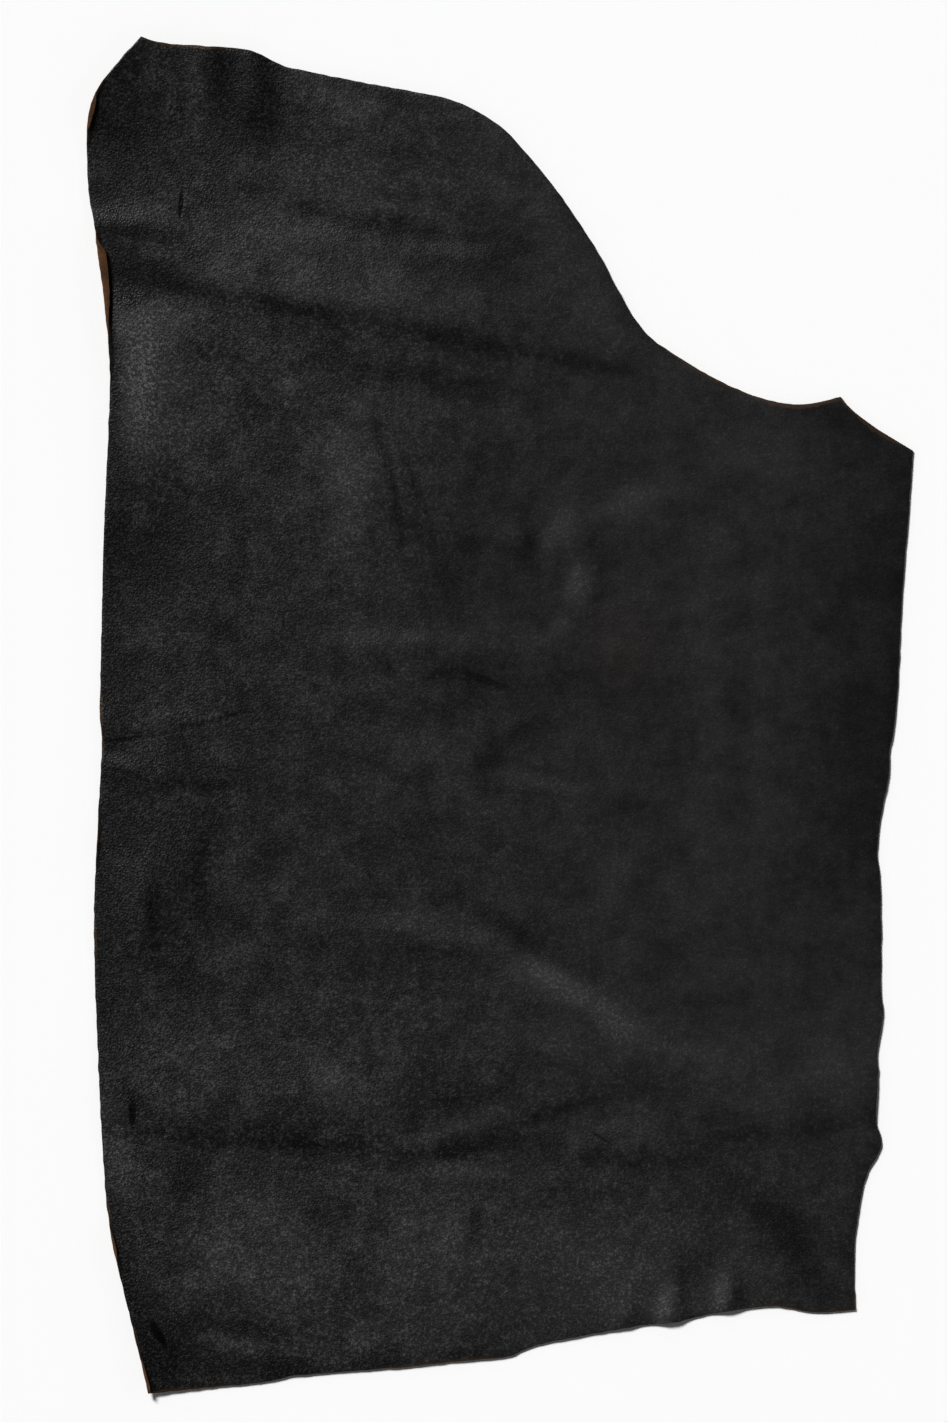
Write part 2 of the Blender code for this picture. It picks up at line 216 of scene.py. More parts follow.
folds = (  # each runs from one point to another, bowed to its left, with a flank on each side
    Fold("cuffRidge", -470, 499, -300, 482, 0, 14, 13, 0.7, 2.2),
    Fold("neckRidge", -420, 462, 190, 345, 0, 70, 34, 0.7, 3.3),
    Fold("upperValley", -400, 436, 230, 316, -3, 12, 32, 0.6, -2.8),
    Fold("upperValleyMouth", -500, 436, -265, 420, 0, 24, 28, 0.8, -3.2),
    Fold("secondValley", -235, 352, 90, 300, 0, 13, 30, 1, -2.9),
    Fold("neckCreaseShort", -228, 510, -138, 482, 3, 8, 14, 1, -1.8),
    Fold("neckCreaseLong", -154, 486, 40, 470, 9, 8, 20, 1, -2.6),
    Fold("cornerRidgeOuter", -299, 745, -281, 575, 0, 14, 26, 0.9, 3.4),
    Fold("cornerRidgeInner", -262, 735, -233, 550, 0, 16, 30, 0.9, 4),
    Fold("shoulderEdge", -402, 270, -388, 110, 0, 16, 10, 1, 2.4),
    Fold("bellyRidge", -152, 350, -100, 120, 10, 9, 46, 1, 3.9),
    Fold("bellyRidgeInner", -118, 310, -84, 140, 7, 9, 14, 1, 2.3),
    Fold("bellyRidgeLow", -200, 72, 66, 62, 3, 11, 20, 0.8, 1.9),
    Fold("bellyFold", -170, 42, 52, 12, 22, 30, 12, 1, 2.9),
    Fold("flankRidge", 66, 232, 84, 70, 6, 24, 16, 0.8, 3),
    Fold("flankRidgeInner", 10, 235, 26, 112, 0, 14, 28, 1, 2),
    Fold("flankStreak", 74, 196, 190, 222, 0, 16, 26, 1, 1.1),
    Fold("edgeFoldUpper", -500, -22, -270, -4, -3, 20, 6, 1, 0.9),
    Fold("edgeFoldLower", -500, -42, -200, -80, 0, 14, 7, 1, 1.1),
    Fold("flankDentOuter", -352, -125, -346, -262, 0, 9, 34, 1, 2.7),
    Fold("flankDentInner", -310, -60, -303, -215, 0, 12, 36, 1, 1.8),
    Fold("slantValley", -85, -170, 130, -268, 3, 12, 24, 1, -3.5),
    Fold("slantRidge", -14, -222, 200, -390, 5, 18, 90, 1, 3.7),
    Fold("slantRidgeFaint", -230, -198, -10, -240, 0, 18, 36, 1, 2.6),
    Fold("lowerValley", -440, -421, -70, -445, -3, 12, 28, 0.9, -3.4),
    Fold("lowerValleyDip", -140, -452, 45, -438, -10, 12, 26, 0.9, -3.4),
    Fold("lowerValleyClimb", -60, -462, 185, -374, 13, 12, 36, 0.8, -2.7),
    Fold("lowerValleyStep", 50, -438, 250, -442, -14, 13, 24, 1, -2.8),
    Fold("lowerValleyEnd", 190, -432, 470, -416, 2, 12, 28, 0.7, -2.3),
    Fold("ruffleLeft", 178, -554, 166, -700, 0, 14, 14, 0.6, 4.2),
    Fold("ruffleRight", 232, -546, 228, -690, 0, 13, 13, 0.6, 4),
    Fold("ruffleSmall", 132, -560, 121, -700, 0, 10, 13, 0.6, 2),
)
rises = (
    Rise("neckTip", -410, 690, 140, 86, 11, 30),
    Rise("collar", -120, 586, 120, 60, 4, -12),
    Rise("neck", -180, 392, 270, 95, 5.4, -10),
    Rise("shoulder", -368, 290, 44, 120, 6),
    Rise("bellySwell", -120, 200, 90, 130, 2.2, 6),
    Rise("edgeSwell", -350, -40, 100, 70, 2.4, -8),
    Rise("flankSwell", -340, -170, 70, 90, 2.8),
    Rise("rump", 20, -320, 200, 80, 2.8, -18),
    Rise("lowerLeft", -240, -392, 220, 66, 5.2),
    Rise("lowerRight", 280, -395, 140, 55, 3.8, 2),
    Rise("hock", 170, -450, 90, 50, 3),
    Rise("thigh", -130, -560, 260, 85, 3.8, 4),
    Rise("leg", 225, -470, 60, 40, 1.5, -50),
    Rise("legLower", 288, -560, 36, 24, 2.5, -60),
    Rise("foot", -405, -640, 92, 96, 6),
)
curls = (  # where the left edge rolls over, by turn degrees
    Curl("neckTipCurl", 605, 50, 40, 185, 5),
    Curl("neckCurl", 458, 165, 38, 198, 6.5),
    Curl("flankCurl", -125, 45, 40, 120, 4),
    Curl("legCurl", -533, 36, 44, 160, 5),
    Curl("footCurl", -668, 60, 70, 165, 4.5),
)
creases = (  # small dents and pressed lines, on top of the folds
    Fold("edgePinch", -405, -31, -362, -42, 0, 3.6, 5, 0.9, -1.2),
    Fold("bellyDent", -72, 212, -60, 188, 0, 4, 5, 1, -1),
    Fold("collarDent", -330, 622, -300, 560, 4, 7, 9, 1, -1.4),
    Fold("shoulderLine", -205, 300, -178, 150, 5, 8, 10, 1, 0.8),
    Fold("flankLine", -300, 120, -282, -20, -4, 9, 9, 1, 0.7),
)


def smoothEdge(points):  # a curve through an edge's points
    places = np.array(points)
    ahead = np.vstack((places[1:], 2.0 * places[-1] - places[-2]))
    behind = np.vstack((2.0 * places[0] - places[1], places[:-1]))
    gaps = np.linalg.norm(np.diff(places, axis=0), axis=1)
    before = np.concatenate(([gaps[0]], gaps))
    after = np.concatenate((gaps, [gaps[-1]]))
    slopes = (ahead - behind) / (before + after)[:, None]
    steps = np.linspace(0.0, 1.0, hide["splineSteps"], endpoint=False)[:, None]
    stretches = []
    for start, end, slopeIn, slopeOut, gap in zip(places, places[1:], slopes, slopes[1:], gaps):
        stretches.append((2.0 * steps**3 - 3.0 * steps**2 + 1.0) * start
                         + (steps**3 - 2.0 * steps**2 + steps) * slopeIn * gap
                         + (3.0 * steps**2 - 2.0 * steps**3) * end
                         + (steps**3 - steps**2) * slopeOut * gap)
    return np.vstack(stretches + [places[-1:]])


def along(edge, shares):  # points at shares of an edge's length
    path = smoothEdge(edge)
    lengths = np.concatenate(([0.0], np.cumsum(np.linalg.norm(np.diff(path, axis=0), axis=1))))
    where = shares * lengths[-1]
    return np.column_stack((np.interp(where, lengths, path[:, 0]), np.interp(where, lengths, path[:, 1])))


def bandedShares(bands):  # grid lines as shares of the whole, closer where a band has more cells
    lines = [0.0]
    for band in bands:
        start = lines[-1]
        lines.extend([start + band.length * (cell + 1) / band.cells for cell in range(band.cells)])
    return np.array(lines) / lines[-1]


def bump(distance):  # 1 at no distance, 0 at a distance of 1
    near = np.clip(np.abs(distance), 0.0, 1.0)
    return (1.0 - near**2) ** 2


def eased(share):
    share = np.clip(share, 0.0, 1.0)
    return share * share * (3.0 - 2.0 * share)


def foldHeight(fold, x, y):  # share runs along the fold, aside across it in mm
    run = np.array((fold.x1 - fold.x0, fold.y1 - fold.y0))
    length = np.hypot(*run)
    forward = run / length
    share = ((x - fold.x0) * forward[0] + (y - fold.y0) * forward[1]) / length
    aside = (y - fold.y0) * forward[0] - (x - fold.x0) * forward[1]
    aside = aside - fold.bow * (1.0 - (2.0 * share - 1.0) ** 2)
    ends = eased(2.0 * np.minimum(share, 1.0 - share) / fold.fade)
    reach = np.where(aside > 0.0, fold.left, fold.right) * (1.0 - hide["foldTaper"] * (1.0 - ends))
    return fold.height * np.exp(-(aside / reach) ** 2) * ends


def spread(spot, x, y):  # 1 in the middle of a rise or patch, dying away along its two axes
    turn = radians(spot.turn)
    across = (x - spot.x) * cos(turn) + (y - spot.y) * sin(turn)
    up = (y - spot.y) * cos(turn) - (x - spot.x) * sin(turn)
    return np.exp(-(across / spot.long) ** 2 - (up / spot.wide) ** 2)


def wander(x, y, size, layer):  # smooth noise from -1 to 1 with patches of this size
    places = zip(np.ravel(x) / size, np.ravel(y) / size)
    return np.reshape([noise.noise((a, b, layer)) for a, b in places], np.shape(x))


def lie(x, y):  # height of the underside
    lift = sum(rise.height * spread(rise, x, y) for rise in rises)
    lift = lift + sum(foldHeight(fold, x, y) for fold in folds)
    lift = np.maximum(lift - hide["flatBelow"], 0.0)
    return lift**2 / (lift + hide["settle"])


def lowRelief(x, y):  # the creases and the unevenness between them
    relief = sum(foldHeight(crease, x, y) for crease in creases)
    for layer, (height, size) in enumerate(hide["ripples"]):
        relief = relief + height * (1.0 + wander(x, y, size, hide["rippleLayers"] * layer))
    return relief


def curlTurn(y):  # how far the left edge is rolled over, and how tightly
    turn = np.zeros_like(y)
    radius = np.full_like(y, curls[0].radius)
    for curl in curls:
        reach = np.where(y > curl.y, curl.above, curl.below)
        here = radians(curl.turn) * bump((y - curl.y) / reach)
        radius = np.where(here > turn, curl.radius, radius)
        turn = np.maximum(turn, here)
    return turn, radius


def rightPoints(rows):  # up the right edge, over the bevel and up the sweep
    rightEnds, bevelEnds = hide["rightEndsAt"], hide["bevelEndsAt"]
    right = along(rightEdge, np.minimum(rows / rightEnds, 1.0))
    bevel = along(bevelEdge, np.clip((rows - rightEnds) / (bevelEnds - rightEnds), 0.0, 1.0))
    sweep = along(sweepEdge, np.maximum((rows - bevelEnds) / (1.0 - bevelEnds), 0.0))
    places = np.where((rows < rightEnds)[:, None], right, bevel)
    return np.where((rows > bevelEnds)[:, None], sweep, places)


def flatRow(v, left, right, shares):  # across the flat sheet, its ends on the left and right edges
    u = shares[:, None]
    bottom = along(bottomEdge, shares) - ((1.0 - u) * bottomEdge[0] + u * bottomEdge[-1])
    top = along(topEdge, shares) - ((1.0 - u) * topEdge[0] + u * topEdge[-1])
    sag = hide["rowSag"] * bump((v - hide["bevelEndsAt"]) / hide["sagReach"]) * 4.0 * u * (1.0 - u)
    return (1.0 - v) * bottom + v * top + (1.0 - u) * left + u * right - sag * (0.0, 1.0)


def distanceTo(edges, x, y):  # from each point to the nearest edge
    nearest = np.full(x.shape, np.inf)
    for edge in edges:
        path = smoothEdge(edge)
        for start, end in zip(path[:-1], path[1:]):
            run = end - start
            share = ((x - start[0]) * run[0] + (y - start[1]) * run[1]) / (run @ run)
            share = np.clip(share, 0.0, 1.0)
            gap = np.hypot(x - start[0] - share * run[0], y - start[1] - share * run[1])
            nearest = np.minimum(nearest, gap)
    return nearest


def sheetPlaces():  # the underside's grid in mm, and each point's distance from the cut edge
    rows = bandedShares(hide["rows"])
    margin = hide["marginShare"]
    columns = margin + (1.0 - margin) * bandedShares(hide["columns"])
    leftPlaces = along(leftEdge, rows)
    turns, radii = curlTurn(leftPlaces[:, 1])
    grid = []
    fromLeft = []
    for v, left, right, turn, radius in zip(rows, leftPlaces, rightPoints(rows), turns, radii):
        curled = radius * turn
        flat = hide["curlMargin"]
        material = np.linspace(0.0, curled + flat, hide["curlColumns"], endpoint=False)
        angle = np.maximum(curled - material, 0.0) / radius
        angle = np.concatenate((angle, np.zeros_like(columns)))
        shares = np.concatenate((np.maximum(material - curled, 0.0) / flat * margin, columns))
        x, y = flatRow(v, left, right, shares).T
        fromLeft.append(np.concatenate((material, curled + x[len(material):] - x[0])))
        x = x + radius * np.sin(min(turn, radians(90.0))) * (1.0 - shares) ** hide["edgePull"]
        x = x - radius * np.sin(angle)
        z = lie(x, y) + hide["curlSquash"] * radius * (1.0 - np.cos(angle))
        grid.append(np.column_stack((x, y, z)))
    grid = np.array(grid)
    x, y = grid[..., 0], grid[..., 1]
    others = distanceTo((bottomEdge, rightEdge, bevelEdge, sweepEdge, topEdge), x, y)
    fromRim = np.minimum(np.array(fromLeft), others)
    relief = lowRelief(x, y)
    reach, size = hide["ragged"]
    for axis, layer in enumerate(hide["raggedLayers"]):
        grid[..., axis] += reach * wander(x, y, size, layer)
    grid[..., 2] = np.maximum(grid[..., 2] + relief, 0.0)
    return grid, fromRim


print("tables read:", len(folds), "folds,", len(rises), "rises,", len(creases), "creases")

leather = {
    "pebble": 2.3,                        # mm across one pebble of the grain
    "pebbleEdge": (0.05, 0.75),           # where its side starts and ends, out from its middle
    "warp": Cloud(3.0, 1.0, 0.5),         # bends the pebbles' rows
    "warpReach": 0.9,                     # mm
    "fine": Cloud(0.8, 2.0, 0.6),         # the grain between pebbles
    "speckle": Cloud(3.5, 2.0, 1.0),      # painted glints on the pebbles, drawn as pale flecks in the dye
    "mottle": Cloud(36.0, 5.0, 0.95),     # the clouds of the dye
    "mottleDepth": 2.9,
    "mottleFine": 0.55,                   # share of that where the grain is finest
    "stretch": 0.6,                       # the clouds run up and across the hide, this much narrower
    "relief": 0.28,                       # mm, how deep the grain is
    "pebbleRelief": 0.75,                 # shares of that
    "fineRelief": 0.35,
    "leastRelief": 0.15,                  # share that is left where the grain is finest
    "coarseMiddle": -30.0,                # mm, the grain is coarse left of here and fine right of it, and the painted glints follow it, a painted sheen brighter on the left
    "coarseReach": 170.0,
    "coarseMean": 0.62,                   # how coarse it is in the middle
    "coarseSwing": 0.46,                  # and how much more or less towards the sides
    "evenWear": 0.52,                     # how far the face is rubbed pale, away from the patches
    "grainWear": 0.20,                    # and how much less where its grain is coarse
    "scuffed": (0.8, 2.3),                # wear from which the dye is scuffed off, and where it is gone; the strongest painted highlights reach into it
    "scuffSpeckle": 3.0,                  # how ragged the scuffs are
    "flecked": (0.46, 0.70),              # speckle from which a painted glint shows, and where it is full
    "fleckMottle": 0.35,                  # how much the clouds gather the painted glints
    "fleckUnworn": 0.45,                  # how strong they are where nothing is rubbed and no highlight is painted
    # the dye from deep to rubbed pale and scuffed; the painted shade pulls towards the deep dye and the
    # painted highlights towards the pale and scuffed ones
    "darkDye": (0.0008, 0.0008, 0.0008, 1.0),
    "paleDye": (0.0100, 0.0100, 0.0101, 1.0),
    "scuffAndHighlightDye": (0.026, 0.026, 0.0265, 1.0),
    # painted glints: the sheen on the pebbles drawn into the colour, paler where the face is scuffed
    "paintedGlint": (0.036, 0.036, 0.037, 1.0),
    "brightPaintedGlint": (0.085, 0.085, 0.087, 1.0),
    # painted shade in the slits and pressed lines, near black
    "pressedAndShaded": (0.0004, 0.0004, 0.0004, 1.0),
    "redStain": (0.016, 0.0085, 0.0080, 1.0),
    "cutDark": (0.007, 0.004, 0.003, 1.0),
    "cutBrown": (0.022, 0.011, 0.0045, 1.0),
    "cutWidth": 0.7,                      # mm of bare edge seen from above
    "cutWidest": 7.0,                     # mm more in the bare stretches
    "cutUneven": 0.1,                     # frayed places below this stay dyed to the edge
    "cutSoft": 0.9,                       # mm over which the dye starts
    "frayed": Cloud(9.0, 3.0, 0.7),
    "browning": Cloud(42.0, 2.0, 0.6),
    "browned": (0.5, 0.9),                # browning from which the cut is brown, and where it is full
    "smooth": 0.42,                       # roughness of the deep, unworn dye
    "rubbedAndLit": 0.55,                       # and of the dye that is rubbed dull, and where highlights are painted
    "fineRough": 0.12,                    # how much that varies with the fine grain
    "polish": 0.07,                       # how much smoother the darkest places are
    "polished": (-1.2, 0.1),              # wear of the darkest places, and where the polish ends
    "gloss": 0.25,
    "markSoft": 0.9,                      # how much of a mark is its sloping side
    "markPolish": 2.0,
    "markRelief": 1.5,
}
patches = (  # where the face is rubbed paler and shinier, or stays darker, and where painted highlights lie on flanks that face the key light and painted shade lies in folds, valleys and corners
    # painted highlight: the sheen on the slope facing the key light at the left edge
    Patch("shoulder", -357, 352, 23, 57, 1.25),
    Patch("shoulderLow", -335, 286, 60, 34, 0.5),
    Patch("shoulderSide", -318, 334, 24, 22, 0.4),
    Patch("shoulderFoot", -340, 224, 24, 18, 0.25),
    Patch("shoulderUpper", -330, 386, 40, 26, 0.34, -8),
    Patch("shoulderRim", -398, 340, 15, 70, -1.2),
    Patch("neckBand", -225, 462, 110, 44, 0.14, -10),
    Patch("neckBandInner", -165, 421, 76, 9, 0.22, -6),
    Patch("neckValleyAbove", -80, 503, 118, 7, 0.26, -10.5),
    Patch("neckValley", -104, 482, 100, 8, -0.24, -8),
    Patch("neckBandEndUpper", -130, 540, 90, 30, 0.25),
    Patch("neckBandEnd", -30, 448, 50, 16, -0.3, -10),
    Patch("collar", -160, 622, 50, 20, 0.2, -12),
    Patch("collarEdge", -96, 614, 30, 8, -0.25, -14),
    Patch("sweep", 50, 470, 30, 150, 0.15, 35),
    Patch("sweepUpper", -28, 565, 28, 26, 0.18),
    Patch("sweepLow", 8, 478, 34, 28, -0.3),
    Patch("neckTip", -376, 580, 34, 26, -0.4, 20),
    Patch("neckTipSide", -392, 640, 22, 46, -0.4),
    Patch("neckTipSpot", -371, 636, 12, 16, -0.6),
    Patch("neckTipSpotLow", -397, 594, 12, 18, -0.6),
    Patch("neckTipSpotInner", -366, 573, 18, 22, -0.8),
    Patch("neckTipMiddle", -338, 652, 34, 13, 0.1, -6),
    Patch("neckTipInner", -304, 632, 12, 30, 0.1),
    Patch("neckTipStreak", -319, 645, 11, 22, -0.28),
    Patch("neckMiddle", -268, 565, 40, 40, -0.3),
    Patch("neckMiddleSide", -259, 550, 18, 18, 0.2),
    Patch("neckMiddleEdge", -319, 546, 14, 20, -0.2),
    # painted shade on the shaded flanks of the corner folds
    Patch("cornerBandOuter", -272, 644, 15, 22, -1.5, 6),
    Patch("cornerBand", -233, 632, 17, 34, -1.4, 4),
    Patch("cornerBandFoot", -250, 598, 14, 14, -0.8),
    # painted shade at the valley mouth beside the neck curl
    Patch("cuff", -366, 446, 36, 13, -0.5, -4),
    Patch("cuffEnd", -330, 436, 26, 10, -0.5, -6),
    Patch("cuffUnder", -372, 420, 24, 13, -0.9),
    Patch("cuffFoot", -370, 414, 17, 8, -0.5),
    Patch("cuffInner", -319, 466, 26, 8, -0.28, -18),
    # painted shade along the upper and second valleys
    Patch("upperValley", -30, 372, 90, 9, -0.06, -10.5),
    Patch("secondValleyEnd", -30, 320, 34, 10, -0.25, -10),
    Patch("secondValleyStart", -125, 412, 30, 26, 0.14),
    Patch("cuffUpper", -372, 486, 34, 7, -0.7, -8),
    Patch("belly", -150, 215, 32, 60, 0.3),
    Patch("bellyTop", -140, 308, 15, 10, 0.5),
    Patch("bellyUpper", -150, 268, 70, 40, 0.14),
    Patch("bellySide", -44, 142, 34, 50, -0.14),
    Patch("bellySpot", -31, 170, 18, 7, -0.3, 5),
    Patch("bellyFold", -85, 46, 26, 8, 0.25, 6),
    # painted highlights on the flank ridge's lit side
    Patch("flankSpotUpper", 57, 188, 8, 24, 0.75, -33),
    Patch("flankSpot", 81, 129, 12, 16, 0.8, -10),
    Patch("flankSpotLow", 63, 88, 10, 12, 0.65, -10),
    Patch("flankSpotEnd", 42, 74, 10, 6, 0.4, 10),
    Patch("flankSide", 30, 30, 60, 20, -0.12),
    Patch("bellyFoldShade", -66, 74, 32, 12, -0.12),
    Patch("flankStreak", 127, 212, 34, 10, 0.55, 20),
    Patch("flankDent", 31, 176, 9, 30, -0.35),
    Patch("bellyLine", -30, 78, 55, 6, -0.1),
    Patch("bellyLineStart", -143, 80, 22, 10, 0.3),
    Patch("bellyUnder", 70, 42, 26, 20, -0.1),
    Patch("flankLine", 36, -66, 40, 6, 0.5, -14),
    Patch("flankLineAbove", -13, -50, 14, 8, -0.4, 35),
    Patch("edgeUpper", -330, 190, 34, 70, -0.28),
    Patch("edgeSpot", -257, 161, 6, 18, -0.6),
    Patch("edgeMiddle", -349, 114, 30, 15, -0.12),
    Patch("edgeRim", -388, 190, 14, 60, -0.5),
    Patch("leftRim", -392, -60, 24, 330, -0.4),
    Patch("neckRim", -400, 500, 20, 60, -0.2),
    Patch("edgeLower", -325, -62, 50, 24, -0.2),
    Patch("edgeShade", -290, -56, 46, 22, -0.2),
    Patch("flank", -348, -195, 5, 36, -0.65),
    Patch("flankInner", -306, -160, 20, 80, -0.3),
    Patch("flankUpper", -330, -130, 24, 30, -0.5),
    Patch("flankTop", -330, -135, 34, 34, -0.15),
    Patch("flankEdge", -359, -137, 12, 30, -0.22),
    # painted shade: darker towards the right, where the key light's sheen falls off
    Patch("rightSide", 410, 140, 80, 170, -0.3),
    Patch("rightLow", 372, -20, 50, 70, -0.12),
    Patch("rightHip", 352, -120, 36, 80, -0.2),
    Patch("backSpot", 110, -180, 34, 50, 0.15),
    Patch("backSpotUpper", 162, 114, 18, 18, 0.12),
    Patch("backSpotLow", 221, -350, 16, 24, -0.1),
    Patch("backTop", 265, 262, 30, 24, 0.2),
    Patch("notch", 342, 298, 28, 11, -0.35, -10),
    Patch("back", 230, -120, 130, 260, 0.02),
    Patch("backUpper", 150, 0, 60, 60, -0.1),
    Patch("flankMiddle", -20, 20, 40, 40, -0.1),
    Patch("flankMiddleLeft", -125, -62, 34, 34, 0.14),
    Patch("backLine", 206, 0, 18, 250, 0.16),
    Patch("backLineOuter", 262, -60, 10, 200, 0.15),
    # painted highlight along the slant ridge's lit flank, with painted shade above it
    Patch("slant", 66, -274, 56, 11, 0.9, -31),
    Patch("slantStart", -56, -214, 52, 14, 0.28, -10),
    Patch("slantFar", -195, -225, 44, 40, -0.15),
    Patch("slantFarLow", -130, -240, 36, 14, 0.15),
    Patch("slantEnd", 124, -312, 26, 16, 0.7, -35),
    Patch("slantTail", 188, -336, 36, 4.5, 0.15),
    Patch("slantAbove", 14, -214, 44, 9, -0.35, -26),
    Patch("slantUnderLeft", -66, -246, 26, 8, 0.02, 14),
    Patch("slantBelow", 190, -335, 60, 20, 0.15),
    Patch("slantUnder", 75, -335, 36, 22, 0.4, -20),
    Patch("hip", 345, -340, 50, 60, 0.16),
    Patch("lowerLeft", -230, -340, 60, 30, 0.1),
    Patch("lowerMiddle", -56, -380, 50, 14, -0.12, 6),
    Patch("lowerLeftSpot", -170, -362, 14, 30, 0.35, 10),
    Patch("lowerLeftEnd", -229, -396, 28, 9, 0.2),
    Patch("lowerLeftBand", -292, -362, 20, 34, -0.05, -10),
    Patch("lowerEdge", -350, -330, 14, 34, 0.02),
    Patch("lowerEdgeSpot", -336, -308, 22, 24, -0.25),
    Patch("lowerEdgeRim", -385, -400, 16, 26, 0.25),
    Patch("hockRim", -380, -455, 20, 60, 0.6, 6),
    # painted shade in the lower valley
    Patch("lowerValley", -209, -424, 90, 10, -0.1, -4),
    Patch("lowerValleyDip", -30, -434, 44, 8, -0.3, 8),
    Patch("betweenValleys", -54, -416, 52, 7, 0.5, 20),
    Patch("valleyClimbLow", 8, -425, 28, 9, -0.3, 30),
    Patch("valleyClimb", 48, -398, 22, 8, -0.1, 30),
    Patch("valleyClimbEnd", 108, -377, 34, 8, 0.12, 8),
    Patch("valleyTop", 20, -402, 90, 28, 0.15, 6),
    Patch("valleyEnd", 283, -402, 36, 26, 0.2),
    Patch("belowValleys", -35, -457, 34, 9, 0.45),
    Patch("belowValleysLow", -42, -489, 26, 10, -0.2),
    Patch("thigh", -250, -545, 70, 60, 0.34),
    Patch("thighSide", -328, -537, 24, 28, -0.18),
    Patch("thighInner", -70, -545, 60, 60, 0.35, 10),
    Patch("thighMiddle", -127, -600, 34, 26, 0.24),
    Patch("thighOuter", 110, -545, 120, 50, 0.4, 6),
    Patch("thighOuterDent", 147, -532, 26, 26, -0.15),
    Patch("thighLow", 0, -605, 200, 34, 0.12, 6),
    Patch("thighDent", -24, -508, 6, 22, -0.45),
    Patch("hockDent", -312, -460, 12, 14, -0.5),
    # painted shade in the bottom-left corner, around the foot curl and the heel
    Patch("foot", -372, -570, 15, 80, -1.3, 10),
    Patch("footLow", -346, -642, 36, 36, -1.1),
    Patch("heelStreak", -262, -630, 34, 8, 0.2, -8),
    Patch("heelUpper", -252, -615, 38, 7, -0.5, -8),
    Patch("heel", -225, -654, 44, 10, -0.85, -4),
    Patch("thighEdge", -116, -641, 28, 10, -0.1, 4),
    Patch("thighEdgeInner", -49, -637, 20, 11, -0.28, 4),
    Patch("thighEdgeSide", 21, -625, 24, 12, 0.2, 8),
    # painted shade on the leg fold's shaded flank
    Patch("legFold", 290, -519, 32, 20, -0.6, -56),
    Patch("legFoldLow", 313, -563, 20, 11, -0.26, -64),
    Patch("legFoldSide", 241, -525, 52, 15, 0.18, -59),
    Patch("legLow", 284, -600, 30, 18, 0.2),
    # painted highlights on the ruffles' lit flanks, painted shade in the dents between them
    Patch("ruffleLeft", 163, -592, 8, 20, 0.9, -4),
    Patch("ruffleRight", 220, -582, 9, 18, 0.85, -4),
    Patch("ruffleSmall", 112, -598, 12, 20, 0.12, -4),
    Patch("ruffleDent", 187, -552, 12, 22, -0.4),
    Patch("ruffleDentRight", 241, -572, 7, 18, -0.25),
)
grainSpots = (  # where the grain, and with it the painted glints, is coarser or finer than so far across the hide
    Patch("belly", -60, 130, 150, 220, -0.28),
    Patch("flank", -190, -150, 120, 150, -0.22),
    Patch("leg", 180, -520, 250, 130, 0.36),
    Patch("hock", -380, -440, 50, 70, 0.2),
)
stain = Patch("redStain", 121, 70, 38, 46, 0.6)
marks = (  # slits and pressed lines, finer than the folds, each a dent with painted shade drawn along it
    Mark("neckCrease", -213, 520, -160, 488, 8, 0.18),
    Mark("neckSlit", -316, 528, -318, 494, 3.2, 0.95),
    Mark("flankSlit", -365.5, -379, -365.5, -418, 4.8, 0.95),
    Mark("footCrease", -351, -601, -330, -636, 5.6, 0.95),
    Mark("footCreaseEnd", -338, -620, -314, -662, 5, 0.25),
    Mark("scratch", 90, -415, 114, -431, 2, 0.6),
    Mark("edgeLine", -402, -29, -325, -19, 3.4, 0.45),
    Mark("edgeLineEnd", -340, -21, -241, 5, 4.4, 0.35),
    Mark("edgeLineLow", -402, -50, -340, -69, 3.4, 0.4),
    Mark("edgeLineLowEnd", -356, -66, -225, -80, 4, 0.1),
    Mark("flankDent", -350, -162, -346, -228, 6, 0.35),
    Mark("bellyArcOuter", -110, 267, -92, 156, 5, 0.33),
    Mark("bellyArcInner", -93, 258, -66, 186, 5.4, 0.34),
    Mark("bellyArcEnd", -67, 202, -62, 124, 6.4, 0.36),
    Mark("bellyFoldLine", -52, 48, 27, 19, 5, 0.3),
    Mark("bellyDent", 30, 204, 35, 146, 7, 0.08),
)
bareEdges = (  # where a wider strip of the cut edge shows its brown
    Patch("neckTop", -312, 668, 36, 14, 1, -8),
    Patch("neckSide", -405, 605, 12, 30, 1),
    Patch("sweep", 205, 342, 40, 12, 1, -34),
    Patch("notch", 300, 312, 44, 14, 1.6),
    Patch("bevel", 378, 284, 22, 12, 1.5, -34),
    Patch("flank", -398, 4, 12, 14, 1.2),
    Patch("flankLow", -396, -34, 12, 8, 1.2),
    Patch("hip", -404, -226, 12, 16, 0.8),
    Patch("leg", -392, -505, 12, 18, 1.2),
    Patch("footSide", -361, -636, 14, 24, 1),
    Patch("foot", -325, -676, 44, 12, 0.65, 4),
    Patch("belly", -60, -648, 60, 10, 0.5, 6),
    Patch("legSide", 300, -594, 50, 12, 0.35),
)


def painted(spots, x, y):  # what the patches of one kind add up to at each point
    return sum(spot.strength * spread(spot, x, y) for spot in spots)


